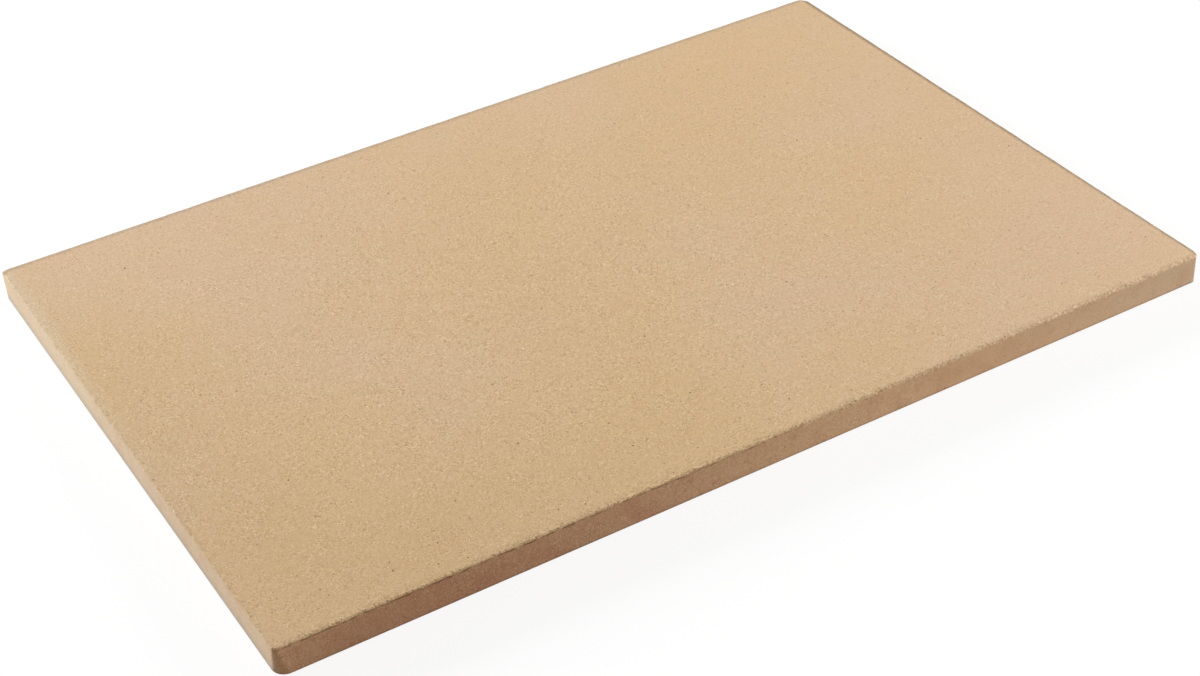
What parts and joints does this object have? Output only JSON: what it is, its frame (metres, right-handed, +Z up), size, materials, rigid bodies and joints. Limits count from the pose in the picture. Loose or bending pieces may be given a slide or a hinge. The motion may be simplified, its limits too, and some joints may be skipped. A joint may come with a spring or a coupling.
{
  "type": "pizza stone",
  "caption": "Flat rectangular baking stone of sandy beige fired ceramic, with straight sides, slightly softened edges and small rounded corners.",
  "frame": {"origin": "middle of the underside, which is the face that the stone rests on", "axes": "+X along the long side, +Y along the short side away from the viewer of the picture, +Z up, out of the baking face"},
  "size_m": [0.508, 0.343, 0.017],
  "materials": {
    "cordierite": "matte"
  },
  "bodies": {
    "root": {"baking_stone": "cordierite"}
  },
  "joints": []
}
